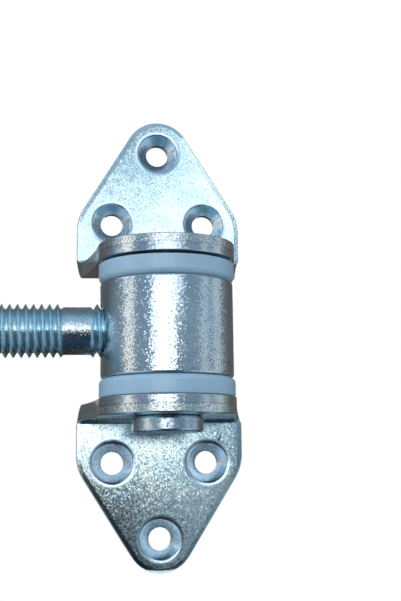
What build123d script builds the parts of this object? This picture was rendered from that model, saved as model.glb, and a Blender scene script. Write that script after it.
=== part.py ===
"""Adjustable gate hinge: two bent L brackets carry a pin, and a barrel with a threaded stud turns on it.

Frame: +Z is up along the pin, the wall is the plane Y = 0 and the room lies towards -Y.
The origin is on the wall, at the centre of the six screw holes. All sizes are in millimetres.
"""
from build123d import *
import os
from math import acos, asin, atan2, cos, degrees, hypot, pi, radians, sin, sqrt

os.makedirs("parts", exist_ok=True)

# Bracket sheet and bend
sheet = 4.0
bend_inner_r = 0.7
edge_break = 0.4

# Bracket plate against the wall
plate_width = 40.0
plate_height = 40.0
apex_r = 8.0
side_angle = 32.0
corner_r = 11.0

# Countersunk screw holes
screw_hole_d = 5.5
screw_sink_d = 9.8
screw_sink_angle = 90.0
screw_row_gap = 18.0
screw_spacing = 22.8

# Bracket ear
pin_offset = 24.5
nose_overhang = 0.5
flare_r = 110.0
flare_sections = 7
flare_cut_margin = 1.0

# Barrel
barrel_d = 30.0
barrel_length = 21.3
barrel_edge_chamfer = 0.7
tapped_mouth_chamfer = 0.35

# Flanged bushes
flange_overhang = 0.3
flange_thickness = 4.35
flange_edge_chamfer = 0.5
sleeve_d = 14.0
sleeve_length = 8.0
sleeve_lead_chamfer = 0.4
bush_mouth_chamfer = 0.4

# Hinge pin
pin_d = 10.0
pin_head_d = 16.0
pin_head_thickness = 3.6
pin_head_seat_chamfer = 0.8
pin_head_edge_chamfer = 0.4
peen_d = 13.0
peen_height = 1.5
peen_chamfer = 0.8

# Threaded stud
stud_d = 12.0
stud_reach = 60.0
stud_tip_chamfer = 1.1
stud_root_chamfer = 0.6
neck_d = 10.7
neck_length = 5.9
neck_gap = 2.2

# Fits
pin_running_clearance = 0.05
end_play_below = 0.1
end_play_above = 0.6
stud_end_gap = 0.3

# Places worked out from the sizes
half_width = plate_width / 2
flange_d = barrel_d + 2 * flange_overhang
nose_r = barrel_d / 2 + nose_overhang
bend_outer_r = bend_inner_r + sheet
ear_face_z = (barrel_length + 2 * flange_thickness + end_play_below + end_play_above) / 2
ear_top_z = ear_face_z + sheet
bend_z = ear_face_z + bend_outer_r
tip_z = ear_face_z + plate_height
apex_hole_z = tip_z - apex_r
wide_hole_z = apex_hole_z - screw_row_gap
barrel_z = -ear_face_z + end_play_below + flange_thickness + barrel_length / 2
barrel_top_z = barrel_z + barrel_length / 2
bore_d = pin_d + 2 * pin_running_clearance
pin_axis = Axis((0, -pin_offset, 0), (0, 0, 1))
pin_plane = Plane.XZ.offset(pin_offset)
stud_axis = Axis((0, -pin_offset, barrel_z), (-1, 0, 0))

# The ear is narrower than the plate. One concave arc joins them, from the plate's corner where the
# bend starts to the ear's round nose, which it meets smoothly. Runs are counted along the middle of
# the sheet. The triangle of the corner, the nose's centre and the arc's centre gives the arc's place.
bend_run = (bend_inner_r + sheet / 2) * pi / 2
nose_run = bend_run + pin_offset - bend_outer_r
corner_to_nose = hypot(half_width, nose_run)
arc_to_nose = flare_r + nose_r
corner_angle = acos((corner_to_nose**2 + arc_to_nose**2 - flare_r**2) / (2 * corner_to_nose * arc_to_nose))
flare_lean = corner_angle - atan2(nose_run, half_width)
flare_centre_x = arc_to_nose * cos(flare_lean)
flare_centre_run = nose_run + arc_to_nose * sin(flare_lean)


def flare_half_width(run, inset=0.0):
    """Half the width of the flat blank, at a run in mm past the start of the bend."""
    return flare_centre_x - sqrt((flare_r + inset) ** 2 - (flare_centre_run - run) ** 2)


# The broken edge is as wide as the plate's where the bend starts, and as the ear's where it ends.
ear_root = (flare_half_width(bend_run), -bend_outer_r)
ear_root_break = ear_root[0] - flare_half_width(bend_run, edge_break)

# What the punch takes off one side of the bend
with BuildPart() as flare_waste:
    waste_x = half_width + flare_cut_margin
    waste_top = bend_inner_r / 2
    waste_bottom = bend_outer_r + flare_cut_margin
    for section in range(flare_sections):
        bent = section / (flare_sections - 1)
        edge_x = flare_half_width(bend_run * bent)
        break_x = edge_x - edge_break - (ear_root_break - edge_break) * bent
        turn = bent * pi / 2
        across = Plane((0, -bend_outer_r, bend_z), x_dir=(1, 0, 0), z_dir=(0, sin(turn), cos(turn)))
        with BuildSketch(across):
            with BuildLine():
                Polyline(
                    (edge_x, bend_inner_r + edge_break),
                    (edge_x, waste_bottom),
                    (waste_x, waste_bottom),
                    (waste_x, waste_top),
                    (break_x, waste_top),
                    (break_x, bend_inner_r),
                    close=True,
                )
            make_face()
    loft()

# Upper bracket: the plate stands on the wall above the bend, and the ear reaches into the room.
# The edges are broken on the side that the screws enter.
with BuildPart() as upper_bracket:
    # Plate
    with BuildSketch(Plane.XZ):
        with BuildLine():
            side_lean = radians(side_angle)
            side_top = (apex_r * cos(side_lean), apex_hole_z + apex_r * sin(side_lean))
            corner_z = apex_hole_z + (apex_r - half_width * cos(side_lean)) / sin(side_lean)
            Polyline((0, tip_z), (0, bend_z), (half_width, bend_z), (half_width, corner_z), side_top)
            CenterArc((0, apex_hole_z), apex_r, side_angle, 90 - side_angle)
        make_face()
        fillet(vertices().group_by(Axis.X)[-1].sort_by(Axis.Y)[-1], corner_r)
        mirror(about=Plane.YZ)
    extrude(amount=sheet)
    plate_front = faces().filter_by(Axis.Y).sort_by(Axis.Y)[0]
    chamfer(plate_front.edges().filter_by(Axis.X, reverse=True), edge_break)

    # Ear
    with BuildSketch(Plane.XY.offset(ear_face_z)):
        with BuildLine():
            flare_centre = (flare_centre_x, -pin_offset - arc_to_nose * sin(flare_lean))
            root_lean = asin((flare_centre_run - bend_run) / flare_r)
            Polyline((0, -pin_offset - nose_r), (0, -bend_outer_r), ear_root)
            CenterArc(flare_centre, flare_r, 180 - degrees(root_lean), degrees(root_lean - flare_lean))
            CenterArc((0, -pin_offset), nose_r, -degrees(flare_lean), degrees(flare_lean) - 90)
        make_face()
        mirror(about=Plane.YZ)
    ear_faces = extrude(amount=sheet).faces()
    ear_top = ear_faces.filter_by(Axis.Z).sort_by(Axis.Z)[-1]
    chamfer(ear_top.edges().filter_by(Axis.X, reverse=True), edge_break)

    # Bend, cut from a strip as wide as the plate
    with BuildSketch(Plane.XY.offset(bend_z)):
        with Locations((0, -sheet / 2)):
            Rectangle(plate_width, sheet)
    revolve(axis=Axis((0, -bend_outer_r, bend_z), (-1, 0, 0)), revolution_arc=90)
    add(flare_waste.part, mode=Mode.SUBTRACT)
    add(mirror(flare_waste.part, about=Plane.YZ, mode=Mode.PRIVATE), mode=Mode.SUBTRACT)

    # Holes
    hole_places = [
        Plane((0, -sheet, apex_hole_z), x_dir=(1, 0, 0), z_dir=(0, -1, 0)),
        Plane((-screw_spacing / 2, -sheet, wide_hole_z), x_dir=(1, 0, 0), z_dir=(0, -1, 0)),
        Plane((screw_spacing / 2, -sheet, wide_hole_z), x_dir=(1, 0, 0), z_dir=(0, -1, 0)),
    ]
    with Locations(*hole_places):
        CounterSinkHole(screw_hole_d / 2, screw_sink_d / 2, sheet, screw_sink_angle)
    with Locations((0, -pin_offset, ear_top_z)):
        Hole(pin_d / 2, sheet)

upper_bracket.part.label = "upper_bracket"
export_step(upper_bracket.part, "parts/upper_bracket.step")

# Lower bracket: the same pressing, turned over
with BuildPart() as lower_bracket:
    mirror(upper_bracket.part, about=Plane.XY)

lower_bracket.part.label = "lower_bracket"
export_step(lower_bracket.part, "parts/lower_bracket.step")

# Hinge pin: its head is under the lower ear, and its top end is peened over the upper ear
with BuildPart() as hinge_pin:
    with BuildSketch(pin_plane):
        with BuildLine():
            Polyline(
                (0, ear_top_z + peen_height),
                (0, -ear_top_z - pin_head_thickness),
                (pin_head_d / 2, -ear_top_z - pin_head_thickness),
                (pin_head_d / 2, -ear_top_z),
                (pin_d / 2, -ear_top_z),
                (pin_d / 2, ear_top_z),
                (peen_d / 2, ear_top_z),
                (peen_d / 2, ear_top_z + peen_height - peen_chamfer),
                (peen_d / 2 - peen_chamfer, ear_top_z + peen_height),
                close=True,
            )
        make_face()
        chamfer(vertices().group_by(Axis.X)[-1].sort_by(Axis.Y)[0], pin_head_edge_chamfer)
        chamfer(vertices().group_by(Axis.X)[-1].sort_by(Axis.Y)[-1], pin_head_seat_chamfer)
    revolve(axis=pin_axis)

hinge_pin.part.label = "hinge_pin"
export_step(hinge_pin.part, "parts/hinge_pin.step")

# Upper bush: a flange between the barrel and the ear, and a sleeve inside the barrel
with BuildPart() as upper_bush:
    with BuildSketch(Plane.XY.offset(barrel_top_z)):
        with Locations((0, -pin_offset)):
            Circle(flange_d / 2)
    extrude(amount=flange_thickness)
    chamfer(edges(), flange_edge_chamfer)
    with BuildSketch(Plane.XY.offset(barrel_top_z)):
        with Locations((0, -pin_offset)):
            Circle(sleeve_d / 2)
    extrude(amount=-sleeve_length)
    chamfer(edges().group_by(Axis.Z)[0], sleeve_lead_chamfer)
    with Locations((0, -pin_offset, barrel_top_z + flange_thickness)):
        CounterSinkHole(bore_d / 2, bore_d / 2 + bush_mouth_chamfer)

upper_bush.part.label = "upper_bush"
export_step(upper_bush.part, "parts/upper_bush.step")

# Lower bush: the same bush at the other end of the barrel
with BuildPart() as lower_bush:
    mirror(upper_bush.part, about=Plane.XY.offset(barrel_z))

lower_bush.part.label = "lower_bush"
export_step(lower_bush.part, "parts/lower_bush.step")

# Barrel: a tube with a tapped hole through one wall
with BuildPart() as barrel:
    with BuildSketch(Plane.XY.offset(barrel_top_z)):
        with Locations((0, -pin_offset)):
            Circle(barrel_d / 2)
            Circle(sleeve_d / 2, mode=Mode.SUBTRACT)
    extrude(amount=-barrel_length)
    rims = edges().filter_by(GeomType.CIRCLE).filter_by(lambda e: e.radius > sleeve_d / 2)
    chamfer(rims, barrel_edge_chamfer)
    with BuildSketch(Plane((0, -pin_offset, barrel_z), z_dir=(-1, 0, 0))):
        Circle(stud_d / 2)
    extrude(amount=barrel_d / 2, mode=Mode.SUBTRACT)
    mouth = edges().filter_by(GeomType.BSPLINE).sort_by(Axis.X)[0]
    chamfer(mouth, tapped_mouth_chamfer)

barrel.part.label = "barrel"
export_step(barrel.part, "parts/barrel.step")

# Threaded stud: screwed into the barrel up to its plain neck. The thread stands at its major diameter.
with BuildPart() as threaded_stud:
    with BuildSketch(pin_plane):
        with BuildLine():
            tip_x = -barrel_d / 2 - stud_reach
            neck_x = -barrel_d / 2 - neck_gap
            root_x = -sleeve_d / 2 - stud_end_gap
            Polyline(
                (tip_x, barrel_z),
                (root_x, barrel_z),
                (root_x, barrel_z + stud_d / 2 - stud_root_chamfer),
                (root_x - stud_root_chamfer, barrel_z + stud_d / 2),
                (neck_x, barrel_z + stud_d / 2),
                (neck_x, barrel_z + neck_d / 2),
                (neck_x - neck_length, barrel_z + neck_d / 2),
                (neck_x - neck_length, barrel_z + stud_d / 2),
                (tip_x + stud_tip_chamfer, barrel_z + stud_d / 2),
                (tip_x, barrel_z + stud_d / 2 - stud_tip_chamfer),
                close=True,
            )
        make_face()
    revolve(axis=stud_axis)

threaded_stud.part.label = "threaded_stud"
export_step(threaded_stud.part, "parts/threaded_stud.step")
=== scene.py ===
# %% [markdown]
# # An adjustable gate hinge in zinc-plated steel
# Two bent sheet brackets hold a pin. A barrel turns on the pin between two nylon bushes, and a
# threaded stud is screwed into its side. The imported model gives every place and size. This file
# makes each piece again with the detail that the eye looks for: punched edges, pressed
# countersinks, a rolled thread and the grain of the zinc.

# %% Load the fixed frame
from math import acos, asin, atan2, cos, degrees, hypot, pi, radians, sin, sqrt, tan

import bmesh
import bpy
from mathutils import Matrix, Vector


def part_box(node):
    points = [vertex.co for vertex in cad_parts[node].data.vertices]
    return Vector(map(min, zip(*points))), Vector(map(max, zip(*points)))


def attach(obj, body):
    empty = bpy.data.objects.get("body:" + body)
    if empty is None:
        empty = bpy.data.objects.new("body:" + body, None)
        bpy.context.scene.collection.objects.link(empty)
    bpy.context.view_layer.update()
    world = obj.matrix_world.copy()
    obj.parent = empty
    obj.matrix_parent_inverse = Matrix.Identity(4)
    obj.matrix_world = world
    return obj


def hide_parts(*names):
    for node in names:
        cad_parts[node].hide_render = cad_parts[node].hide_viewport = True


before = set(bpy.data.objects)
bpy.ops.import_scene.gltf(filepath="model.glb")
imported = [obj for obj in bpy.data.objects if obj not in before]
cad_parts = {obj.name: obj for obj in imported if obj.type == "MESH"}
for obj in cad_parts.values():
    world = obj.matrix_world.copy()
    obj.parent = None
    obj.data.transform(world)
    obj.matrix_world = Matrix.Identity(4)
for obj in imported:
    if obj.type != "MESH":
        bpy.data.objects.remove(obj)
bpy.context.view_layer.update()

# %% [markdown]
# ## Camera
# The camera stands where the photograph was taken: low, a little to the left, and turned up. A lens
# of 65 mm at a quarter of a metre gives the photograph's strong perspective. It comes first,
# because every piece is looked at through it.

# %% Camera
camera_place = (-0.02277, -0.26628, -0.03217)
camera_turn = (radians(99.09), radians(0.793), radians(-7.068))
bpy.ops.object.camera_add(location=camera_place, rotation=camera_turn)
camera = bpy.context.active_object
camera.name = "camera"
camera.data.lens = 64.99
camera.data.clip_start = 0.01
bpy.context.scene.camera = camera
bpy.context.scene.view_settings.view_transform = "Standard"
print("camera at", list(camera.location), "lens", camera.data.lens)

# %% [markdown]
# ## Studio
# Polished metal has almost no colour of its own: it shows the room. So the room is built as the
# metal shows it. Soft boxes in front draw the white stripe down the barrel and light the plates, a
# warm one on the left draws the cream stripe, and two dim ones on the right draw the grey stripes.
# A flat plate mirrors one small window of the room. So the front lamp is not one sheet but several
# boxes: what lies between them shows as the blue patches of the plates. The hinge can't mirror the
# last lamp, overhead, which only fills the shadows.

# %% Colours are written as sRGB hex values
def colour(hex_value):
    """Turns an sRGB hex colour into the linear colour that Blender works in."""
    parts = [int(hex_value[i : i + 2], 16) / 255 for i in (1, 3, 5)]
    linear = [p / 12.92 if p <= 0.04045 else ((p + 0.055) / 1.055) ** 2.4 for p in parts]
    return (*linear, 1.0)


# %% Lengths are written in millimetres, and this turns them into metres
mm = 0.001


def metres(point):
    """A place in metres from one in millimetres."""
    return [mm * v for v in point]


# %% A soft box
lamp_aim = (0, -24, 0)


def soft_box(name, centre, size, level, tint):
    """A soft lamp aimed at the barrel. A level of 1 makes its face as bright as white paper."""
    bpy.ops.object.light_add(type="AREA", location=metres(centre))
    lamp = bpy.context.active_object
    lamp.name = name
    lamp.data.shape = "RECTANGLE"
    lamp.data.size = mm * size[0]
    lamp.data.size_y = mm * size[1]
    lamp.data.energy = level * pi * lamp.data.size * lamp.data.size_y
    lamp.data.color = colour(tint)[:3]
    towards = Vector(lamp_aim) - Vector(centre)
    lamp.rotation_euler = towards.to_track_quat("-Z", "Y").to_euler()
    lamp.visible_camera = False
    return lamp


# %% Soft boxes in front. The rim and corner boxes light the rolled rim of the upper plate
soft_box("front_soft_box", (-106, -620, 68), (442, 100), 1.9, "#fbfdff")
soft_box("middle_front_soft_box", (-40, -620, 165), (580, 94), 1.3, "#f6fcff")
soft_box("upper_front_soft_box", (152, -620, 279), (174, 152), 1.34, "#f4fbff")
soft_box("left_rim_soft_box", (-82, -620, 236), (106, 32), 1.3, "#f4fbff")
soft_box("left_corner_soft_box", (-285, -620, 395), (110, 130), 1.3, "#f4fbff")
soft_box("lower_front_soft_box", (-126, -620, -11), (408, 58), 2.3, "#fbfdff")
soft_box("lower_right_soft_box", (150, -620, -100), (190, 90), 0.36, "#e6f4f8")

# %% Soft boxes at the sides, and the fill
soft_box("upper_left_soft_box", (-560, -110, 250), (380, 200), 0.75, "#f1f6fa")
soft_box("warm_left_soft_box", (-571, -209, 60), (190, 320), 0.95, "#ffebd2")
soft_box("right_soft_box", (600, -20, 60), (215, 320), 0.43, "#eef5f0")
soft_box("right_front_soft_box", (525, -310, 60), (150, 320), 0.42, "#f3ece2")
fill = soft_box("overhead_fill", (-330, -420, 520), (600, 600), 1.2, "#dcecf7")
fill.visible_glossy = False

# %% [markdown]
# ## Dark card
# Whoever takes a picture stands in the light, and the metal shows it. The lower plate and the
# underside of its ear look straight back at the camera, so they mirror a dark shape there. A dark
# card hangs where the camera's body would be. The camera itself doesn't see it.

# %% A material starts as a Principled shader
def new_material(name):
    """A material with a Principled shader, and its node tree."""
    made = bpy.data.materials.new(name)
    made.use_nodes = True
    return made, made.node_tree, made.node_tree.nodes["Principled BSDF"]


# %% Dark card
card_centre = (-45, -270, -98.5)
card_size = (126, 145, 1)
bpy.ops.object.select_all(action="DESELECT")
bpy.ops.mesh.primitive_plane_add(size=mm, location=metres(card_centre), rotation=(pi / 2, 0, 0))
camera_body = bpy.context.active_object
camera_body.name = "camera_body"
camera_body.scale = card_size
bpy.ops.object.transform_apply()
camera_body.visible_camera = False

# Matt black card: it gives almost no light back, so the metal shows a soft dark patch.
black_card, tree, shader = new_material("black_card")
shader.inputs["Base Color"].default_value = colour("#333d45")
shader.inputs["Roughness"].default_value = 0.8
camera_body.data.materials.append(black_card)
print("card at, m:", [round(v, 4) for v in metres(card_centre)])

# %% [markdown]
# ## Tent
# The tent is a sphere round the hinge. The camera doesn't see it, and the metal does. An opening is
# cut out behind the hinge, where the photograph's white background stood: edges that turn away
# from the camera mirror the plain white through it. The tent's colour changes with direction: dark
# blue below, pale from the horizon up with one darker band, and grey-brown behind the hinge. Low
# at both sides it is pale again, as a light floor would be.

# %% Tent with its opening, in metres
tent_r = 1.5
opening_left = -0.25
opening_right = 0.45
opening_bottom = 0.05
opening_top = 0.75
opening_behind = 1.3
bpy.ops.object.select_all(action="DESELECT")
bpy.ops.mesh.primitive_uv_sphere_add(segments=64, ring_count=32, radius=tent_r)
tent = bpy.context.active_object
tent.name = "tent"
bpy.ops.object.mode_set(mode="EDIT")
mesh = bmesh.from_edit_mesh(tent.data)
bpy.ops.mesh.select_mode(type="FACE")
for face in mesh.faces:
    middle = face.calc_center_median()
    face.select_set(
        middle.y > opening_behind
        and opening_left < middle.x < opening_right
        and opening_bottom < middle.z < opening_top
    )
bmesh.update_edit_mesh(tent.data)
bpy.ops.mesh.delete(type="FACE")
bpy.ops.object.mode_set(mode="OBJECT")
tent.visible_camera = False
tent.visible_shadow = False
print("tent faces left:", len(tent.data.polygons))


# %% One function adds a node, with its settings and what its inputs take
def add_node(tree, kind, inputs=None, **settings):
    """Adds a node. An input takes a value, or the socket of another node."""
    made = tree.nodes.new("ShaderNode" + kind)
    for name, value in settings.items():
        setattr(made, name, value)
    for name, value in (inputs or {}).items():
        if isinstance(value, bpy.types.NodeSocket):
            tree.links.new(value, made.inputs[name])
        else:
            made.inputs[name].default_value = value
    return made


# %% A Mix node keeps its colours on sockets of their own, found by number
share = 0
first = 6
second = 7
mixed = 2

# %% The tent's colours, from straight down at 0 to straight up at 1, with the horizon at 0.5
tent_cloth, tree, _ = new_material("tent_cloth")
tree.nodes.clear()
where = add_node(tree, "TexCoord")
unit = add_node(tree, "VectorMath", {0: where.outputs["Object"]}, operation="NORMALIZE")
axes = add_node(tree, "SeparateXYZ", {0: unit.outputs[0]})
height = add_node(tree, "MapRange", {"Value": axes.outputs["Z"], "From Min": -1.0, "From Max": 1.0})
by_height = add_node(tree, "ValToRGB", {"Fac": height.outputs[0]})
ramp = by_height.color_ramp
ramp.elements[0].position = 0.0
ramp.elements[0].color = colour("#26384a")
ramp.elements[1].position = 0.985
ramp.elements[1].color = colour("#6f8797")
for position, tint in (
    (0.30, "#2c3d4e"),
    (0.47, "#33424f"),
    (0.52, "#8298a8"),
    (0.58, "#9bb2c4"),
    (0.66, "#5d7c96"),
    (0.73, "#a0bcd0"),
    (0.78, "#a6c2d6"),
    (0.93, "#93bad8"),
):
    ramp.elements.new(position).color = colour(tint)
print("tent colours:", len(ramp.elements))

# %% Low at both sides, the light floor
sideways = add_node(tree, "Math", {0: axes.outputs["X"]}, operation="ABSOLUTE")
sideways = add_node(
    tree, "MapRange", {"Value": sideways.outputs[0], "From Min": 0.3, "From Max": 0.75}
)
downwards = add_node(
    tree, "MapRange", {"Value": axes.outputs["Z"], "From Min": 0.0, "From Max": -0.15}
)
low_side = add_node(
    tree, "Math", {0: sideways.outputs[0], 1: downwards.outputs[0]}, operation="MULTIPLY"
)
floor_light = add_node(
    tree,
    "Mix",
    {share: low_side.outputs[0], first: by_height.outputs[0], second: colour("#c4e2f5")},
    data_type="RGBA",
)

# %% Behind the hinge, the dim back of the room, darker towards the floor
depth = add_node(tree, "MapRange", {"Value": axes.outputs["Y"], "From Min": -0.2, "From Max": 0.6})
side = add_node(tree, "MapRange", {"Value": axes.outputs["X"], "From Min": -0.6, "From Max": 0.3})
rear = add_node(
    tree,
    "Mix",
    {share: side.outputs[0], first: colour("#646768"), second: colour("#6a6460")},
    data_type="RGBA",
)
floor_shade = add_node(
    tree,
    "MapRange",
    {"Value": axes.outputs["Z"], "From Min": -0.4, "From Max": 0.05, "To Min": 0.2},
)
rear = add_node(
    tree,
    "Mix",
    {share: 1.0, first: rear.outputs[mixed], second: floor_shade.outputs[0]},
    data_type="RGBA",
    blend_type="MULTIPLY",
)
behind = add_node(
    tree,
    "Mix",
    {share: depth.outputs[0], first: floor_light.outputs[mixed], second: rear.outputs[mixed]},
    data_type="RGBA",
)

# %% The cloth glows by itself: an even light, with no lamp to be seen on it
glow = add_node(tree, "Emission", {"Color": behind.outputs[mixed], "Strength": 1.0})
add_node(tree, "OutputMaterial", {"Surface": glow.outputs[0]})
tent.data.materials.append(tent_cloth)
print("tent cloth:", len(tree.nodes), "nodes")

# %% [markdown]
# ## Floor and background
# A small white table top stands just under the hinge. It is kept small, because the metal mirrors
# all that is near it. To the camera, and in mirrors and glass, the table top and the world are
# plain white. All other rays meet a grey, so the background adds little light of its own.

# %% What is looked at, straight or in a mirror
def looked_at(tree):
    """1 for rays from the camera, a mirror or clear glass, and 0 for light on its way."""
    path = add_node(tree, "LightPath")
    seen = add_node(
        tree,
        "Math",
        {0: path.outputs["Is Camera Ray"], 1: path.outputs["Is Glossy Ray"]},
        operation="ADD",
    )
    seen = add_node(
        tree,
        "Math",
        {0: seen.outputs[0], 1: path.outputs["Is Transmission Ray"]},
        operation="ADD",
        use_clamp=True,
    )
    return seen.outputs[0]


# %% Table top, in metres
table_centre = (0, 0.027, mm * -55.4)
table_size = (0.024, 0.066, 1)
bpy.ops.object.select_all(action="DESELECT")
bpy.ops.mesh.primitive_plane_add(size=1, location=table_centre)
table_top = bpy.context.active_object
table_top.name = "table_top"
table_top.scale = table_size
bpy.ops.object.transform_apply()

# White laminate: an even, matt white. The grey under it takes the hinge's shadow.
white_laminate, tree, _ = new_material("white_laminate")
tree.nodes.clear()
paper_level = add_node(tree, "Math", {0: looked_at(tree), 1: 0.94}, operation="MULTIPLY")
paper = add_node(tree, "Emission", {"Color": colour("#ffffff"), "Strength": paper_level.outputs[0]})
laminate = add_node(tree, "BsdfDiffuse", {"Color": colour("#8c8c8c")})
both = add_node(tree, "AddShader", {0: paper.outputs[0], 1: laminate.outputs[0]})
add_node(tree, "OutputMaterial", {"Surface": both.outputs[0]})
table_top.data.materials.append(white_laminate)
print("table top, m:", table_size[:2])

# %% World
world = bpy.data.worlds.new("white_studio")
bpy.context.scene.world = world
world.use_nodes = True
tree = world.node_tree
tree.nodes.clear()
sky = add_node(
    tree,
    "Mix",
    {share: looked_at(tree), first: colour("#8c929a"), second: colour("#ffffff")},
    data_type="RGBA",
)
background = add_node(tree, "Background", {"Color": sky.outputs[mixed], "Strength": 1.0})
add_node(tree, "OutputWorld", {"Surface": background.outputs[0]})
print("world:", world.name)

# %% [markdown]
# ## Zinc plating
# All the steel here is zinc plated and passivated blue. Zinc grows as fine crystals that stand at
# slightly different angles. Each one is a tiny mirror, so the edge of every highlight breaks into
# sparks. The passivation adds a thin blue and cyan cast that drifts over some millimetres, handling
# leaves small dull scuffs, and the sheet or tube under the coat isn't quite flat.
#
# One recipe makes the coat, and each piece asks for its own tint, grain and gloss. Noise gives the
# crystals their height and a painted shade in the hollows between them, and Voronoi cells give each
# one a lean of its own. Real crystals are some hundredths of a millimetre wide, which is too fine
# to
# show: the picture has four to five pixels to the millimetre. They are drawn 0.15 to 0.36 mm wide,
# so that they just show.

# %% Coordinates in millimetres, so that a pattern's scale is one over its real size
def object_mm(tree):
    """Places on a turned or rolled piece, in millimetres."""
    where = add_node(tree, "TexCoord")
    return add_node(
        tree, "Mapping", {"Vector": where.outputs["Object"], "Scale": (1000, 1000, 1000)}
    ).outputs[0]


def blank_mm(tree):
    """Places on the flat blank in millimetres, so that the grain runs round the bend."""
    return add_node(tree, "Attribute", attribute_name="flat_blank").outputs["Vector"]


# %% The cast of the passivation, and painted shade in the hollows between crystals
drift_mm = 7.0


def zinc_colour(tree, place, crystals, bright, cool):
    """Two tints that drift into each other, with painted shade where the crystals' relief is low.
    """
    drift = add_node(
        tree, "TexNoise", {"Vector": place, "Scale": 1 / drift_mm, "Detail": 2.0, "Roughness": 0.5}
    )
    patch = add_node(
        tree,
        "MapRange",
        {"Value": drift.outputs["Fac"], "From Min": 0.36, "From Max": 0.64},
    )
    # Painted shade: where the crystals' relief is low, the colour is drawn up to a fifth darker.
    painted_hollow_shade = add_node(
        tree,
        "MapRange",
        {"Value": crystals, "From Min": 0.3, "From Max": 0.7, "To Min": 0.78},
    )
    tint = add_node(
        tree,
        "Mix",
        {share: patch.outputs[0], first: colour(bright), second: colour(cool)},
        data_type="RGBA",
    )
    tint_with_hollow_shade = add_node(
        tree,
        "Mix",
        {share: 1.0, first: tint.outputs[mixed], second: painted_hollow_shade.outputs[0]},
        data_type="RGBA",
        blend_type="MULTIPLY",
    )
    return tint_with_hollow_shade.outputs[mixed]


# %% Scuffs: short upright rubs that are duller and greyer than the coat
scuff_mm = 0.3
scuff_dulls = 0.08


def zinc_scuffs(tree, place):
    """1 where the coat is rubbed, and 0 elsewhere."""
    rubbed = add_node(tree, "Mapping", {"Vector": place, "Scale": (1.0, 1.0, 0.35)})
    scuffs = add_node(
        tree, "TexNoise", {"Vector": rubbed.outputs[0], "Scale": 1 / scuff_mm, "Detail": 1.0}
    )
    worn = add_node(
        tree,
        "MapRange",
        {"Value": scuffs.outputs["Fac"], "From Min": 0.62, "From Max": 0.74},
    )
    return worn.outputs[0]


# %% Relief: a slow swell in the metal, and the crystals on it
swell_mm = 2.2


def zinc_relief(tree, place, crystals, waves, spark):
    """The bumped normal. Waves and spark are heights in millimetres."""
    swell = add_node(tree, "TexNoise", {"Vector": place, "Scale": 1 / swell_mm, "Detail": 1.0})
    swell_bump = add_node(
        tree, "Bump", {"Height": swell.outputs["Fac"], "Strength": 1.0, "Distance": waves * mm}
    )
    bump = add_node(
        tree,
        "Bump",
        {
            "Height": crystals,
            "Strength": 1.0,
            "Distance": spark * mm,
            "Normal": swell_bump.outputs[0],
        },
    )
    return bump.outputs[0]


# %% Leaning crystals: most lean very little and a few lean much, so the lean is cubed
def leaning_crystals(tree, place, relief, grain, tilt, upright):
    """Gives every crystal its own lean. Upright scales the lean up and down the piece."""
    # A cell's lean is at most a half each way. Half cubed is an eighth, so 8 brings it to the tilt.
    widest = 8 * tilt
    facet = add_node(tree, "TexVoronoi", {"Vector": place, "Scale": 1 / grain})
    lean_way = add_node(
        tree, "VectorMath", {0: facet.outputs["Color"], 1: (0.5, 0.5, 0.5)}, operation="SUBTRACT"
    )
    squared = add_node(
        tree, "VectorMath", {0: lean_way.outputs[0], 1: lean_way.outputs[0]}, operation="MULTIPLY"
    )
    rare = add_node(
        tree, "VectorMath", {0: squared.outputs[0], 1: lean_way.outputs[0]}, operation="MULTIPLY"
    )
    leaning = add_node(
        tree,
        "VectorMath",
        {0: rare.outputs[0], 1: (widest, widest, widest * upright), 2: relief},
        operation="MULTIPLY_ADD",
    )
    normal = add_node(tree, "VectorMath", {0: leaning.outputs[0]}, operation="NORMALIZE")
    return normal.outputs[0]


# %% The plating recipe
gloss_spread = 0.05


def zinc_coat(
    tree,
    shader,
    place,
    bright,
    cool,
    roughness,
    spark,
    grain=0.36,
    tilt=0.1,
    waves=0.0,
    upright=1.0,
):
    """The whole coat. Grain, spark and waves are in millimetres."""
    noise = add_node(
        tree, "TexNoise", {"Vector": place, "Scale": 1 / grain, "Detail": 3.0, "Roughness": 0.62}
    )
    crystals = noise.outputs["Fac"]
    worn = zinc_scuffs(tree, place)
    coat = add_node(
        tree,
        "Mix",
        {
            share: worn,
            first: zinc_colour(tree, place, crystals, bright, cool),
            second: colour("#a9b9c4"),
        },
        data_type="RGBA",
    )
    gloss = add_node(
        tree,
        "MapRange",
        {
            "Value": crystals,
            "From Min": 0.25,
            "From Max": 0.75,
            "To Min": roughness - gloss_spread,
            "To Max": roughness + gloss_spread,
        },
    )
    gloss = add_node(
        tree, "Math", {0: worn, 1: scuff_dulls, 2: gloss.outputs[0]}, operation="MULTIPLY_ADD"
    )
    relief = zinc_relief(tree, place, crystals, waves, spark)
    normal = leaning_crystals(tree, place, relief, grain, tilt, upright)
    shader.inputs["Metallic"].default_value = 1.0
    tree.links.new(coat.outputs[mixed], shader.inputs["Base Color"])
    tree.links.new(gloss.outputs[0], shader.inputs["Roughness"])
    tree.links.new(normal, shader.inputs["Normal"])
    return coat.outputs[mixed], normal


# %% Zinc on rolled sheet, and in the countersinks
# Bright zinc on cold-rolled sheet: near white where it faces a lamp, with a faint green-blue cast.
zinc_sheet, tree, shader = new_material("zinc_plated_sheet")
zinc_coat(
    tree,
    shader,
    blank_mm(tree),
    "#e4f5f5",
    "#cfe8f0",
    roughness=0.15,
    spark=0.006,
    grain=0.24,
    tilt=0.045,
    waves=0.01,
)

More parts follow.
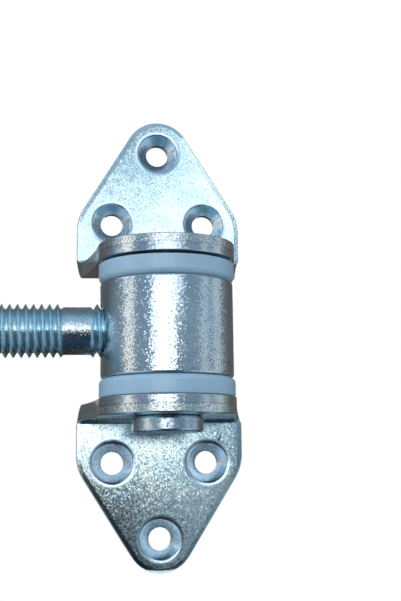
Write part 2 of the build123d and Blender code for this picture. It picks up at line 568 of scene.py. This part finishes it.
# Zinc on a pressed cone: smoother than the sheet, and a little darker and bluer as painted shade in
# the recess, so it reads as a soft dark ring.
zinc_sink, tree, shader = new_material("zinc_in_countersink")
zinc_coat(
    tree,
    shader,
    blank_mm(tree),
    "#dcebf3",
    "#cadeec",
    roughness=0.2,
    spark=0.003,
    grain=0.26,
    tilt=0.02,
)
print("coats:", zinc_sheet.name, zinc_sink.name)

# %% Zinc on the barrel
# Zinc on a turned tube: its crystals lean most round the tube, so the stripes have ragged sides.
zinc_tube, tree, shader = new_material("zinc_on_turned_tube")
zinc_coat(
    tree,
    shader,
    object_mm(tree),
    "#dbe5ea",
    "#c9d7e2",
    roughness=0.13,
    spark=0.005,
    grain=0.24,
    tilt=0.15,
    waves=0.02,
    upright=0.3,
)
print("coat:", zinc_tube.name)

# %% Zinc on the stud
# Zinc on rolled flanks: the palest and bluest coat here, and even, because the dies polished them.
zinc_thread, tree, shader = new_material("zinc_on_rolled_thread")
zinc_coat(
    tree,
    shader,
    object_mm(tree),
    "#e6f9ff",
    "#d0f0fb",
    roughness=0.22,
    spark=0.005,
    grain=0.24,
    tilt=0.08,
)

# Zinc on drawn bar: a white streak above a dark half, with fine sparks where they meet.
zinc_neck, tree, shader = new_material("zinc_on_plain_neck")
zinc_coat(
    tree,
    shader,
    object_mm(tree),
    "#e8f1f5",
    "#cedde8",
    roughness=0.19,
    spark=0.006,
    grain=0.15,
    tilt=0.21,
)
print("coats:", zinc_thread.name, zinc_neck.name)

# %% Zinc on the pin
# Zinc on a forged head: hammered a little uneven, so its highlights are soft and wavy.
zinc_pin, tree, shader = new_material("zinc_on_pin_head")
zinc_coat(
    tree,
    shader,
    object_mm(tree),
    "#e2eaf0",
    "#c2cfdc",
    roughness=0.25,
    spark=0.01,
    tilt=0.08,
    waves=0.04,
)
print("coat:", zinc_pin.name)

# %% [markdown]
# ## Punched edge
# A punch leaves an edge of two bands. The tool first shears the sheet and burnishes a smooth band,
# and then the rest breaks away and is left torn and gritty under the zinc. A thin line, seldom
# straight, shows where the break began. The sheet's own depth, kept from the flat blank, says which
# band a point is in.

# %% Punched edge: which band a point is in
punched_edge, tree, shader = new_material("punched_steel_edge")
place = blank_mm(tree)
edge_colour, edge_normal = zinc_coat(
    tree,
    shader,
    place,
    "#dfe6ea",
    "#cdd9e0",
    roughness=0.16,
    spark=0.008,
    grain=0.28,
    tilt=0.1,
    waves=0.02,
)
# Depths below the back of the sheet. The noise adds about 0.5, so the break lies round 1.9 mm.
ragged_mm = 0.8
break_starts = -1.25
break_ends = -1.6
depth = add_node(tree, "SeparateXYZ", {0: place})
along = add_node(tree, "Mapping", {"Vector": place, "Scale": (1.0, 0.05, 1.0)})
ragged = add_node(
    tree, "TexNoise", {"Vector": along.outputs[0], "Scale": 1 / ragged_mm, "Detail": 2.0}
)
ragged_depth = add_node(
    tree,
    "Math",
    {0: ragged.outputs["Fac"], 1: 1.0, 2: depth.outputs["Y"]},
    operation="MULTIPLY_ADD",
)
broken = add_node(
    tree,
    "MapRange",
    {"Value": ragged_depth.outputs[0], "From Min": break_starts, "From Max": break_ends},
)

# %% The torn band's colour, of light and dark grit
grit_mm = 0.35
grit = add_node(tree, "TexNoise", {"Vector": place, "Scale": 1 / grit_mm, "Detail": 2.0})
torn = add_node(
    tree, "MapRange", {"Value": grit.outputs["Fac"], "From Min": 0.42, "From Max": 0.58}
)
torn_colour = add_node(
    tree,
    "Mix",
    {share: torn.outputs[0], first: colour("#b2bbbe"), second: colour("#f0f2ef")},
    data_type="RGBA",
)
rough_colour = add_node(
    tree,
    "Mix",
    {share: broken.outputs[0], first: edge_colour, second: torn_colour.outputs[mixed]},
    data_type="RGBA",
)

# %% The thin line where the break began
line_strength = 0.6
near_break = add_node(
    tree, "Math", {0: broken.outputs[0], 1: 2.0, 2: -1.0}, operation="MULTIPLY_ADD"
)
near_break = add_node(tree, "Math", {0: near_break.outputs[0]}, operation="ABSOLUTE")
near_break = add_node(
    tree,
    "MapRange",
    {"Value": near_break.outputs[0], "From Min": 1.0, "From Max": 0.2, "To Max": line_strength},
)
rough_colour = add_node(
    tree,
    "Mix",
    {share: near_break.outputs[0], first: rough_colour.outputs[mixed], second: colour("#7f97a6")},
    data_type="RGBA",
)

# %% The torn band is duller, and its grit stands out
grit_height = 0.035
rough_gloss = add_node(
    tree,
    "MapRange",
    {"Value": broken.outputs[0], "To Min": 0.18, "To Max": 0.26},
)
grit_bump = add_node(
    tree,
    "Bump",
    {
        "Strength": broken.outputs[0],
        "Distance": grit_height * mm,
        "Height": grit.outputs["Fac"],
        "Normal": edge_normal,
    },
)
tree.links.new(rough_colour.outputs[mixed], shader.inputs["Base Color"])
tree.links.new(rough_gloss.outputs[0], shader.inputs["Roughness"])
tree.links.new(grit_bump.outputs[0], shader.inputs["Normal"])
print("punched edge:", len(tree.nodes), "nodes")

# %% [markdown]
# ## Nylon
# The bushes are natural nylon: milky, a little clear, and smooth from the mould. Light goes in and
# comes out softened, so most of the colour is subsurface scattering. Faint clouds keep it from
# looking like paint, and the fine skin of the mould takes the edge off its gloss.

# %% Moulded nylon
# Milky nylon: soft, pale blue and a little clear, the one quiet thing between bright steel.
cloud_mm = 5.0
skin_mm = 0.5
skin_height = 0.006
milky_nylon, tree, shader = new_material("moulded_milky_nylon")
place = object_mm(tree)
clouds = add_node(tree, "TexNoise", {"Vector": place, "Scale": 1 / cloud_mm, "Detail": 3.0})
milk = add_node(
    tree,
    "Mix",
    {share: clouds.outputs["Fac"], first: colour("#b4cee1"), second: colour("#c3d9e8")},
    data_type="RGBA",
)
skin = add_node(tree, "TexNoise", {"Vector": place, "Scale": 1 / skin_mm, "Detail": 2.0})
skin_gloss = add_node(
    tree, "MapRange", {"Value": skin.outputs["Fac"], "To Min": 0.2, "To Max": 0.32}
)
skin_bump = add_node(
    tree, "Bump", {"Height": skin.outputs["Fac"], "Strength": 1.0, "Distance": skin_height * mm}
)
tree.links.new(milk.outputs[mixed], shader.inputs["Base Color"])
tree.links.new(skin_gloss.outputs[0], shader.inputs["Roughness"])
tree.links.new(skin_bump.outputs[0], shader.inputs["Normal"])
shader.inputs["IOR"].default_value = 1.53
shader.inputs["Subsurface Weight"].default_value = 0.7
shader.inputs["Subsurface Radius"].default_value = (0.8, 0.9, 1.0)
shader.inputs["Subsurface Scale"].default_value = 2.5 * mm
print("materials:", [m.name for m in bpy.data.materials])

# %% [markdown]
# ## Tools for drawing
# Most pieces here are turned or punched, so each starts as an outline. One point is drawn along
# like a pencil, with straight lines and arcs. Then the outline is filled, or spun round its axis.

# %% The pencil
def start_line(name, *point):
    """A new mesh of one point, in edit mode, at a place in millimetres."""
    bpy.ops.object.select_all(action="DESELECT")
    bpy.ops.mesh.primitive_plane_add(size=mm, location=metres(point))
    piece = bpy.context.active_object
    piece.name = name
    bpy.ops.object.transform_apply()
    bpy.ops.object.mode_set(mode="EDIT")
    bpy.ops.mesh.select_mode(type="VERT")
    bpy.ops.mesh.merge(type="CENTER")
    return piece


def line_to(*point):
    """Draws a straight line from the pencil's point."""
    mesh = bmesh.from_edit_mesh(bpy.context.active_object.data)
    here = next(v.co for v in mesh.verts if v.select)
    step = Vector(point) * mm - here
    bpy.ops.mesh.extrude_region_move(TRANSFORM_OT_translate={"value": step})


def arc_round(centre, axis, turn, steps):
    """Draws an arc. The turn is in degrees, and follows the right hand round the axis."""
    bpy.ops.mesh.spin(steps=steps, angle=-radians(turn), center=metres(centre), axis=axis)


# %% Turning on a lathe
merge_gap = 0.002 * mm


def turn_on_lathe(piece, centre, axis, steps=96):
    """Spins the drawn outline into a closed turned shape."""
    bpy.ops.mesh.select_all(action="SELECT")
    bpy.ops.mesh.spin(steps=steps, angle=2 * pi, center=metres(centre), axis=axis)
    bpy.ops.mesh.select_all(action="SELECT")
    bpy.ops.mesh.remove_doubles(threshold=merge_gap)
    bpy.ops.mesh.normals_make_consistent(inside=False)
    bpy.ops.object.mode_set(mode="OBJECT")
    return piece


# %% Choosing what to work on
def take_up(piece):
    """Makes a piece the only one selected, so that an operator acts on it alone."""
    bpy.ops.object.select_all(action="DESELECT")
    piece.select_set(True)
    bpy.context.view_layer.objects.active = piece


def select_in(piece, kind, wanted):
    """Selects faces or edges whose middle, in millimetres, and normal or run pass a test."""
    bpy.context.view_layer.objects.active = piece
    bpy.ops.object.mode_set(mode="EDIT")
    bpy.ops.mesh.select_mode(type=kind)
    bpy.ops.mesh.select_all(action="DESELECT")
    mesh = bmesh.from_edit_mesh(piece.data)
    if kind == "FACE":
        for face in mesh.faces:
            face.select_set(wanted(face.calc_center_median() / mm, face.normal))
    else:
        for edge in mesh.edges:
            middle = (edge.verts[0].co + edge.verts[1].co) / 2
            edge.select_set(wanted(middle / mm, edge.verts[1].co - edge.verts[0].co))
    mesh.select_flush_mode()
    bmesh.update_edit_mesh(piece.data)


# %% Cutting and joining
def combine(piece, tool, operation="DIFFERENCE"):
    """Cuts, joins or keeps the common part, with a tool that is used up."""
    modifier = piece.modifiers.new("cut", "BOOLEAN")
    modifier.operation = operation
    modifier.solver = "EXACT"
    modifier.material_mode = "TRANSFER"
    modifier.object = tool
    bpy.context.view_layer.objects.active = piece
    bpy.ops.object.modifier_apply(modifier="cut")
    bpy.data.objects.remove(tool)


# %% Finishing a piece
def finish_piece(piece, body, node, angle=35):
    """Smooth shading between hard edges, and the piece's place in the frame."""
    take_up(piece)
    bpy.ops.object.shade_smooth_by_angle(angle=radians(angle))
    weighted = piece.modifiers.new("flat_faces_stay_flat", "WEIGHTED_NORMAL")
    weighted.keep_sharp = True
    bpy.ops.object.modifier_apply(modifier=weighted.name)
    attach(piece, body)
    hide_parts(node)
    low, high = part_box(node)
    corners = [v.co for v in piece.data.vertices]
    ours = [[min(c[i] for c in corners), max(c[i] for c in corners)] for i in range(3)]
    apart = max(max(abs(ours[i][0] - low[i]), abs(ours[i][1] - high[i])) for i in range(3))
    faces = len(piece.data.polygons)
    print(piece.name, faces, "faces,", round(apart / mm, 3), "mm from the node's box")


# %% [markdown]
# ## Bracket
# The bracket is punched from 4 mm sheet as a flat blank: a pointed plate with three screw holes,
# and an ear with a round nose. One long concave arc on each side flares from the ear's nose out to
# the plate's full width. A press then bends the ear square to the plate. It is modelled in the same
# order. In the flat, every edge can be rounded cleanly, and the bend carries it round the corner.
# The lower bracket comes first. Its flat ear stands up in line with the plate.

# %% Sizes of the blank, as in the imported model
sheet = 4.0
bend_inner_r = 0.7
bend_z = -20.05
apex_z = -47.35
apex_r = 8
half_width = 20.0
corner_r = 11.0
side_lean = 32
nose_r = 15.5
flare_r = 110.0
pin_y = -24.5
pin_hole_r = 5
front = -sheet
tip_z = apex_z - apex_r

# %% Where the bend ends, and where the slanting side meets the straight one
bend_run = (bend_inner_r + sheet / 2) * pi / 2
nose_z = bend_z + bend_run - pin_y - bend_inner_r - sheet
lean = radians(side_lean)
corner_z = apex_z - (apex_r - half_width * cos(lean)) / sin(lean)
corner_cut = corner_r * tan(lean / 2)
print("bend takes", round(bend_run, 2), "mm of sheet, and the nose is centred at", round(nose_z, 2))

# %% The flare's centre: an arc through the plate's corner that runs smoothly into the nose
arc_to_nose = flare_r + nose_r
corner_to_nose = hypot(half_width, nose_z - bend_z)
corner_angle = acos(
    (corner_to_nose**2 + arc_to_nose**2 - flare_r**2) / (2 * corner_to_nose * arc_to_nose)
)
flare_lean = corner_angle - atan2(nose_z - bend_z, half_width)
flare_x = arc_to_nose * cos(flare_lean)
flare_z = nose_z + arc_to_nose * sin(flare_lean)
flare_turn = asin((flare_z - bend_z) / flare_r) - flare_lean
print("flare turns", round(degrees(flare_turn), 1), "degrees")

# %% Half the outline, then the other half as its mirror
facing = (0, -1, 0)
roll_depth = 0.14
rolled = front + roll_depth
bracket = start_line("lower_bracket_sheet", 0, rolled, tip_z)
arc_round((0, rolled, apex_z), facing, 90 - side_lean, 14)
line_to(half_width - corner_cut * sin(lean), rolled, corner_z - corner_cut * cos(lean))
arc_round((half_width - corner_r, rolled, corner_z + corner_cut), facing, side_lean, 8)
line_to(half_width, rolled, bend_z)
arc_round((flare_x, rolled, flare_z), facing, -degrees(flare_turn), 16)
arc_round((0, rolled, nose_z), facing, 90 - degrees(flare_lean), 24)
line_to(0, rolled, tip_z)
bpy.ops.mesh.select_all(action="SELECT")
bpy.ops.mesh.remove_doubles(threshold=merge_gap)
bpy.ops.mesh.edge_face_add()
bpy.ops.object.mode_set(mode="OBJECT")
other_half = bracket.modifiers.new("other_half", "MIRROR")
other_half.merge_threshold = 0.01 * mm
bpy.ops.object.modifier_apply(modifier=other_half.name)
bracket.data.materials.append(zinc_sheet)
bracket.data.materials.append(punched_edge)
print("outline of the blank:", len(bracket.data.vertices), "points")

# %% The blank gets its thickness
sheet_slot = 0
edge_slot = 1
bpy.ops.object.mode_set(mode="EDIT")
bpy.ops.mesh.select_all(action="SELECT")
bpy.ops.mesh.dissolve_limited(angle_limit=radians(0.5))
bpy.ops.mesh.select_all(action="SELECT")
bpy.ops.mesh.extrude_region_move(
    TRANSFORM_OT_translate={"value": (0, (sheet - roll_depth) * mm, 0)}
)
bpy.ops.mesh.select_all(action="SELECT")
bpy.ops.mesh.normals_make_consistent(inside=False)
bpy.ops.object.mode_set(mode="OBJECT")
select_in(bracket, "FACE", lambda at, normal: abs(normal.y) < 0.5)
bracket.active_material_index = edge_slot
bpy.ops.object.material_slot_assign()
print("thick blank:", len(bracket.data.polygons), "faces")

# %% [markdown]
# The die pulls the front face down along its rim, so the face ends in a narrow step and then a
# wide shallow slope, before the rounded edge. Two insets draw them, from the rim inwards. They
# catch the light as the thin bright and dark lines that run round the plate. The edge at the back
# is broken too.

# %% The die-rolled rim, and the rounded edges
slope_width = 0.9
slope_depth = 0.05
step_width = 0.35
front_edge_r = 0.22
back_edge_r = 0.2
near = 0.01
select_in(bracket, "FACE", lambda at, normal: normal.y < -0.5)
bpy.ops.mesh.inset(thickness=slope_width * mm, depth=slope_depth * mm)
bpy.ops.mesh.inset(thickness=step_width * mm, depth=(roll_depth - slope_depth) * mm)
select_in(bracket, "EDGE", lambda at, run: abs(at.y - front - roll_depth) < near)
bpy.ops.mesh.bevel(
    offset=front_edge_r * mm, segments=3, profile=0.5, affect="EDGES", material=sheet_slot
)
select_in(bracket, "EDGE", lambda at, run: at.y > -near)
bpy.ops.mesh.bevel(
    offset=back_edge_r * mm, segments=3, profile=0.5, affect="EDGES", material=edge_slot
)
bpy.ops.object.mode_set(mode="OBJECT")
print("flat blank:", len(bracket.data.polygons), "faces")

# %% [markdown]
# A countersink is pressed as well as cut: the face dips in a shallow dish towards it, and its rim
# rolls over softly. The tool is turned with that dish and rounded rim, and a Boolean presses it
# into the blank three times. The pin's hole is plain.

# %% The countersink's rim and dish, which meet in one smooth line
hole_r = 2.75
sink_r = 4.9
dish_r = 5.0
rim_r = 1.0
sink_angle = 45
dish_turn = radians(7)
dish = dish_r * (sin(dish_turn) - 1 + cos(dish_turn))
dish_out = sink_r + dish + rim_r * (sqrt(2) - sin(dish_turn) - cos(dish_turn))
dish_in = dish_out - dish_r * sin(dish_turn)
dish_y = front + dish_r * (1 - cos(dish_turn))
rim_x = dish_in + rim_r * sin(dish_turn)
rim_y = dish_y + rim_r * cos(dish_turn)
rim_start = rim_r * sin(radians(sink_angle))
print("countersink", round(2 * sink_r, 1), "mm, and its dish", round(2 * dish_out, 1), "mm across")

# %% Countersinks and the pin's hole
screw_x = 11.4
screw_z = -29.35
clear = 1
for number, (x, z) in enumerate(((0, apex_z), (-screw_x, screw_z), (screw_x, screw_z))):
    tool = start_line(f"countersink_{number}", x, clear, z)
    line_to(x + hole_r, clear, z)
    line_to(x + hole_r, front + sink_r - hole_r, z)
    line_to(x + rim_x - rim_start, rim_y - rim_start, z)
    arc_round((x + rim_x, rim_y, z), (0, 0, 1), sink_angle - degrees(dish_turn), 5)
    arc_round((x + dish_out, front + dish_r, z), (0, 0, 1), degrees(dish_turn), 4)
    line_to(x + dish_out, front - clear, z)
    line_to(x, front - clear, z)
    turn_on_lathe(tool, (x, 0, z), (0, 1, 0), 64)
    tool.data.materials.append(zinc_sink)
    combine(bracket, tool)
tool = start_line("pin_hole", 0, clear, nose_z)
line_to(pin_hole_r, clear, nose_z)
line_to(pin_hole_r, front - clear, nose_z)
line_to(0, front - clear, nose_z)
turn_on_lathe(tool, (0, 0, nose_z), (0, 1, 0), 64)
tool.data.materials.append(zinc_sink)
combine(bracket, tool)
print("blank with holes:", len(bracket.data.polygons), "faces")

# %% [markdown]
# Simple Deform bends a mesh between two limits. The limits are shares of the blank's length, and
# the bend turns about the middle of the sheet, where real sheet neither stretches nor shrinks. It
# needs enough cuts across the bend to go round smoothly. Places on the flat blank are kept before
# it, so that the grain of the zinc goes round with the sheet.

# %% Cuts across the sheet where it will bend
bends = 12
bpy.ops.object.mode_set(mode="EDIT")
for number in range(bends + 1):
    bpy.ops.mesh.select_all(action="SELECT")
    cut_z = bend_z + bend_run * number / bends
    bpy.ops.mesh.bisect(plane_co=(0, 0, cut_z * mm), plane_no=(0, 0, 1))
bpy.ops.object.mode_set(mode="OBJECT")
print("cuts across the bend:", bends + 1)

# %% The flat places are kept for the materials
flat = bracket.data.attributes.new("flat_blank", "FLOAT_VECTOR", "POINT")
for vertex, stored in zip(bracket.data.vertices, flat.data):
    stored.vector = vertex.co / mm
print("flat places kept:", len(flat.data))

# %% The press bends the ear
bpy.ops.object.empty_add(location=(0, -sheet / 2 * mm, bend_z * mm))
press = bpy.context.active_object
bend = bracket.modifiers.new("bend", "SIMPLE_DEFORM")
bend.deform_method = "BEND"
bend.deform_axis = "X"
bend.angle = -pi / 2
bend.origin = press
length = nose_z + nose_r - tip_z
bend.limits = ((bend_z - tip_z) / length, (bend_z + bend_run - tip_z) / length)
take_up(bracket)
bpy.ops.object.modifier_apply(modifier=bend.name)
bpy.data.objects.remove(press)
print("flat blank was", round(length, 2), "mm long")

# %% The upper bracket is the same part turned over
bpy.ops.object.duplicate()
upper_bracket = bpy.context.active_object
upper_bracket.name = "upper_bracket_sheet"
bpy.ops.transform.rotate(value=pi, orient_axis="Y", center_override=(0, 0, 0))
bpy.ops.object.transform_apply()
finish_piece(bracket, "wall_side", "lower_bracket")
finish_piece(upper_bracket, "wall_side", "upper_bracket")

# %% [markdown]
# ## Pin
# The pin is a forged rivet. Its flat head with rounded edges is under the lower ear, and its top
# end is hammered over the upper ear into a low dome. A turned outline gives all of it.

# %% Sizes of the pin
pin_r = 5
ear_outside = 19.35
head_r = 8
head_bottom = -22.95
head_shoulder = -20.15
head_low_round = 0.6
head_top_round = 0.8
dome_r = 6.5
dome_side = 0.4
dome_round = 1.0
dome_turn = 75
dome_flat_r = 3.0
dome_fall = 0.03
dome_top = 20.85
print("pin is", round(dome_top - head_bottom, 1), "mm long")

# %% Pin
low_round_x = head_r - head_low_round
dome_z = ear_outside + dome_side
pin = start_line("forged_pin", 0, pin_y, head_bottom)
line_to(low_round_x, pin_y, head_bottom)
arc_round((low_round_x, pin_y, head_bottom + head_low_round), facing, 90, 5)
line_to(head_r, pin_y, head_shoulder)
arc_round((head_r - head_top_round, pin_y, head_shoulder), facing, 90, 6)
line_to(pin_r, pin_y, -ear_outside)
line_to(pin_r, pin_y, ear_outside)
line_to(dome_r, pin_y, ear_outside)
line_to(dome_r, pin_y, dome_z)
arc_round((dome_r - dome_round, pin_y, dome_z), facing, dome_turn, 6)
line_to(dome_flat_r, pin_y, dome_top - dome_fall)
line_to(0, pin_y, dome_top)
turn_on_lathe(pin, (0, pin_y, 0), (0, 0, 1))
pin.data.materials.append(zinc_pin)
finish_piece(pin, "wall_side", "hinge_pin")

# %% [markdown]
# ## Bushes
# Each bush has a flange a little wider than the barrel, and a sleeve inside it that the pin runs
# in. The moulded flange has a nearly sharp corner towards the ear and a wide round towards the
# barrel. The lower bush is the upper one turned over.

# %% Sizes of the barrel and the bushes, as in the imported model
barrel_r = 15.0
barrel_top = 10.4
barrel_bottom = -10.9
barrel_z = (barrel_top + barrel_bottom) / 2
flange_r = 15.3
flange_thickness = 4.35
flange_top = barrel_top + flange_thickness
sleeve_r = 7.0
sleeve_length = 8.0
sleeve_end = barrel_top - sleeve_length
bush_bore_r = 5.05
mouth = 0.4
ear_side_r = 0.3
barrel_side_r = 1.45
print("barrel is", round(barrel_top - barrel_bottom, 1), "mm long")

# %% The upper bush
bush = start_line("upper_nylon_bush", bush_bore_r + mouth, pin_y, flange_top)
line_to(flange_r - ear_side_r, pin_y, flange_top)
arc_round((flange_r - ear_side_r, pin_y, flange_top - ear_side_r), facing, -90, 5)
line_to(flange_r, pin_y, barrel_top + barrel_side_r)
arc_round((flange_r - barrel_side_r, pin_y, barrel_top + barrel_side_r), facing, -90, 8)
line_to(sleeve_r, pin_y, barrel_top)
line_to(sleeve_r, pin_y, sleeve_end + mouth)
line_to(sleeve_r - mouth, pin_y, sleeve_end)
line_to(bush_bore_r, pin_y, sleeve_end)
line_to(bush_bore_r, pin_y, flange_top - mouth)
line_to(bush_bore_r + mouth, pin_y, flange_top)
turn_on_lathe(bush, (0, pin_y, 0), (0, 0, 1), 128)
bush.data.materials.append(milky_nylon)

# %% The lower bush is the same part turned over
take_up(bush)
bpy.ops.object.duplicate()
lower_bush = bpy.context.active_object
lower_bush.name = "lower_nylon_bush"
bpy.ops.transform.rotate(
    value=pi, orient_axis="Y", center_override=(0, pin_y * mm, barrel_z * mm)
)
bpy.ops.object.transform_apply()
finish_piece(bush, "gate_side", "upper_bush")
finish_piece(lower_bush, "gate_side", "lower_bush")

# %% [markdown]
# ## Barrel
# The barrel is a short piece of thick tube whose ends are broken on a lathe in two small facets. A
# hole for the stud is drilled into its left side, and its mouth gets a small bevel.

# %% Barrel
facet_in = 0.5
facet_middle = 0.15
facet_down = 0.55
barrel = start_line("turned_barrel", sleeve_r, pin_y, barrel_top)
line_to(barrel_r - facet_in, pin_y, barrel_top)
line_to(barrel_r - facet_middle, pin_y, barrel_top - facet_middle)
line_to(barrel_r, pin_y, barrel_top - facet_down)
line_to(barrel_r, pin_y, barrel_bottom + facet_down)
line_to(barrel_r - facet_middle, pin_y, barrel_bottom + facet_middle)
line_to(barrel_r - facet_in, pin_y, barrel_bottom)
line_to(sleeve_r, pin_y, barrel_bottom)
line_to(sleeve_r, pin_y, barrel_top)
turn_on_lathe(barrel, (0, pin_y, 0), (0, 0, 1), 160)
barrel.data.materials.append(zinc_tube)
print("turned tube:", len(barrel.data.polygons), "faces")

# %% The stud's hole is drilled through the tube's wall, as wide as the thread's crests
crest_r = 6.0
drill_tip = -5
drill_back = -17
drill = start_line("drill", drill_tip, pin_y, barrel_z)
line_to(drill_tip, pin_y, barrel_z + crest_r)
line_to(drill_back, pin_y, barrel_z + crest_r)
line_to(drill_back, pin_y, barrel_z)
turn_on_lathe(drill, (0, pin_y, barrel_z), (1, 0, 0), 80)
drill.data.materials.append(zinc_tube)
combine(barrel, drill)
print("drilled tube:", len(barrel.data.polygons), "faces")

# %% The hole's mouth is broken
mouth_bevel = 0.4
mouth_near = 0.05
left_side_x = -13
select_in(
    barrel,
    "EDGE",
    lambda at, run: at.x < left_side_x
    and abs(sqrt((at.y - pin_y) ** 2 + (at.z - barrel_z) ** 2) - crest_r) < mouth_near
    and abs(sqrt(at.x**2 + (at.y - pin_y) ** 2) - barrel_r) < mouth_near,
)
bpy.ops.mesh.bevel(offset=mouth_bevel * mm, segments=3, profile=0.5, affect="EDGES")
bpy.ops.object.mode_set(mode="OBJECT")
finish_piece(barrel, "gate_side", "barrel")

# %% [markdown]
# ## Threaded stud
# The thread is rolled, not cut: dies press grooves into a bar of 10.7 mm and raise the crests to 12
# mm. So where there is no thread, beside the barrel, the bar is thinner than the crests. One
# outline of a single pitch of 1.75 mm is drawn, and the Screw modifier winds it along the bar. It
# is then trimmed by a turned envelope, which gives the pointed end and fades the thread at the
# neck.

# %% One pitch of the thread: crest, flank and root, as distances along the bar and radii
pitch = 1.75
crest_x = -24.5
pitches_inwards = 12
first_x = crest_x + pitches_inwards * pitch
stud_z = barrel_z
root_r = 4.87
half_pitch = ((0.09, 5.98), (0.17, 5.88), (0.68, 4.99), (0.77, 4.9))
stud = start_line("rolled_thread_stud", first_x, pin_y, stud_z + crest_r)
for x, r in half_pitch:
    line_to(first_x - x, pin_y, stud_z + r)
line_to(first_x - pitch / 2, pin_y, stud_z + root_r)
for x, r in reversed(half_pitch):
    line_to(first_x - pitch + x, pin_y, stud_z + r)
line_to(first_x - pitch, pin_y, stud_z + crest_r)
bpy.ops.object.mode_set(mode="OBJECT")
print("one pitch:", len(stud.data.vertices), "points")

# %% Winding it along the bar
turns = 43
bpy.ops.object.empty_add(location=(0, pin_y * mm, stud_z * mm))
stud_line = bpy.context.active_object
wind = stud.modifiers.new("wind", "SCREW")
wind.axis = "X"
wind.object = stud_line
wind.angle = -2 * pi
wind.screw_offset = -pitch * mm
wind.iterations = turns
wind.steps = 64
wind.render_steps = 64
take_up(stud)
bpy.ops.object.modifier_apply(modifier=wind.name)
bpy.data.objects.remove(stud_line)
print("wound thread:", len(stud.data.polygons), "faces")

# %% The winding is cut off square and closed at both ends
inner_end = -6.5
outer_end = -76
bpy.ops.object.mode_set(mode="EDIT")
bpy.ops.mesh.select_all(action="SELECT")
bpy.ops.mesh.remove_doubles(threshold=merge_gap)
for end_x, outwards in ((inner_end, 1), (outer_end, -1)):
    bpy.ops.mesh.select_all(action="SELECT")
    bpy.ops.mesh.bisect(
        plane_co=(end_x * mm, 0, 0), plane_no=(outwards, 0, 0), use_fill=True, clear_outer=True
    )
bpy.ops.mesh.select_all(action="SELECT")
bpy.ops.mesh.normals_make_consistent(inside=False)
bpy.ops.object.mode_set(mode="OBJECT")
stud.data.materials.append(zinc_thread)
front_crests = sorted(
    round(v.co.x / mm, 2)
    for v in stud.data.vertices
    if v.co.y / mm < pin_y - crest_r + near and abs(v.co.z / mm - stud_z) < near
)
print("thread faces:", len(stud.data.polygons), "front crests at", front_crests[:3])

# %% The turned envelope trims it: a pointed end, a slimmer neck, and the end in the barrel
trim_r = 6.05
groove_r = 5.3
envelope = start_line("envelope", -75, pin_y, stud_z)
for x, r in (
    (-75, 4.9),
    (-73.9, trim_r),
    (-23.8, trim_r),
    (-23.05, groove_r),
    (-17.2, groove_r),
    (-16.5, trim_r),
    (-7.9, trim_r),
    (-7.3, 5.4),
    (-7.3, 0),
):
    line_to(x, pin_y, stud_z + r)
turn_on_lathe(envelope, (0, pin_y, stud_z), (1, 0, 0), 96)
envelope.data.materials.append(zinc_thread)
combine(stud, envelope, "INTERSECT")
print("trimmed stud:", len(stud.data.polygons), "faces")

# %% The plain neck joins the two threads
neck_r = 5.35
neck = start_line("neck", -24.0, pin_y, stud_z)
for x, r in ((-24.0, 4.7), (-23.1, neck_r), (-17.2, neck_r), (-16.6, 4.8), (-16.6, 0)):
    line_to(x, pin_y, stud_z + r)
turn_on_lathe(neck, (0, pin_y, stud_z), (1, 0, 0), 96)
neck.data.materials.append(zinc_neck)
combine(stud, neck, "UNION")
finish_piece(stud, "gate_side", "threaded_stud", angle=50)
